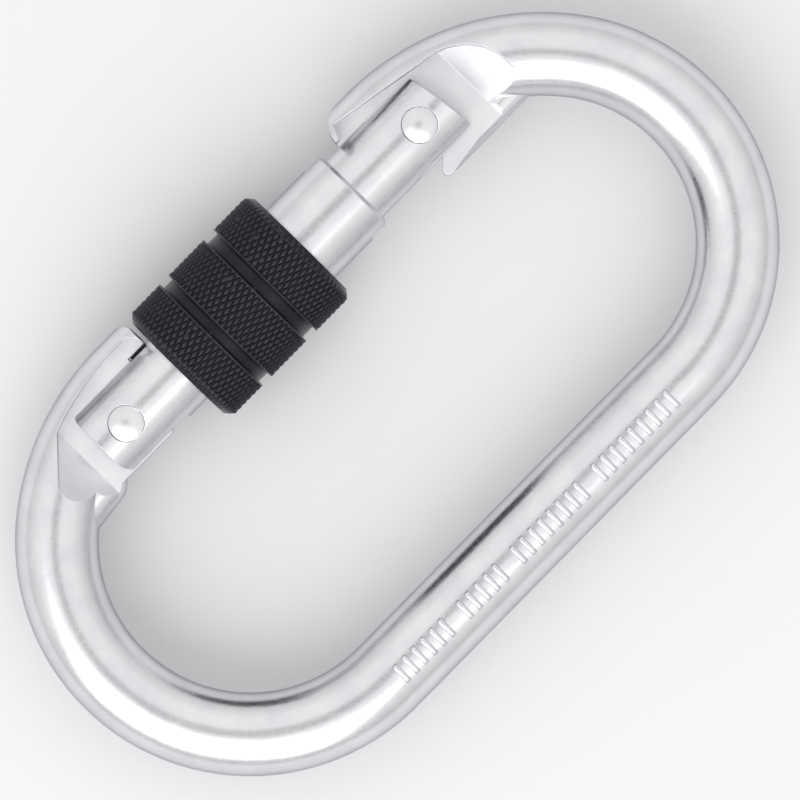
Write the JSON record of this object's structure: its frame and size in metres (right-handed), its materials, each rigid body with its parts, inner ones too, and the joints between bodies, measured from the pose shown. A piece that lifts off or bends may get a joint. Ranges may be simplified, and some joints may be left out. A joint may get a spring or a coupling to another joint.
{
  "type": "screw-lock carabiner",
  "caption": "Oval steel carabiner with a sprung gate that swings inwards and a knurled black sleeve that screws up the gate to lock it.",
  "frame": {"origin": "centre of the oval's box, in the mid-plane of the bar", "axes": "+X along the oval towards the nose, where the gate opens; +Y towards the gate; +Z out of the face that is seen"},
  "size_m": [0.108, 0.0584, 0.0176],
  "materials": {
    "plated_steel": "bright zinc plated, satin",
    "rivet_steel": "bright zinc plated, peened",
    "spring_steel": "drawn spring wire",
    "black_anodised": "knurled, black anodised",
    "ring_rubber": "matt"
  },
  "bodies": {
    "frame": {"frame": "plated_steel"},
    "gate": {"gate_barrel": "plated_steel", "hinge_rivet": "rivet_steel", "latch_rivets": "rivet_steel", "gate_spring": "spring_steel"},
    "plunger": {"spring_plunger": "rivet_steel"},
    "sleeve_travel_ring": {"sleeve_friction_ring": "ring_rubber"},
    "sleeve": {"screw_sleeve": "black_anodised"}
  },
  "joints": [
    {"name": "gate_hinge", "type": "hinge", "parent": "frame", "child": "gate", "pos_m": [-0.0256, 0.02005, 0], "axis": [0, 0, -1], "range_deg": [0, 33], "stiffness_Nm_per_rad": 0.35, "springref_deg": -34.38},
    {"name": "plunger_slide", "type": "slide", "parent": "gate", "child": "plunger", "axis": [1, 0, 0], "range_m": [0, 0.0013], "deforming": ["gate_spring"]},
    {"name": "sleeve_travel", "type": "slide", "parent": "gate", "child": "sleeve_travel_ring", "axis": [1, 0, 0], "range_m": [0, 0.01121]},
    {"name": "sleeve_turn", "type": "hinge", "parent": "sleeve_travel_ring", "child": "sleeve", "pos_m": [0, 0.02035, 0], "axis": [1, 0, 0], "range_deg": [0, 2304]}
  ],
  "couplings": [
    {"joint": "plunger_slide", "follows": "gate_hinge", "m_per_rad": 0.0022},
    {"joint": "sleeve_travel", "follows": "sleeve_turn", "m_per_rad": 0.00027852}
  ]
}
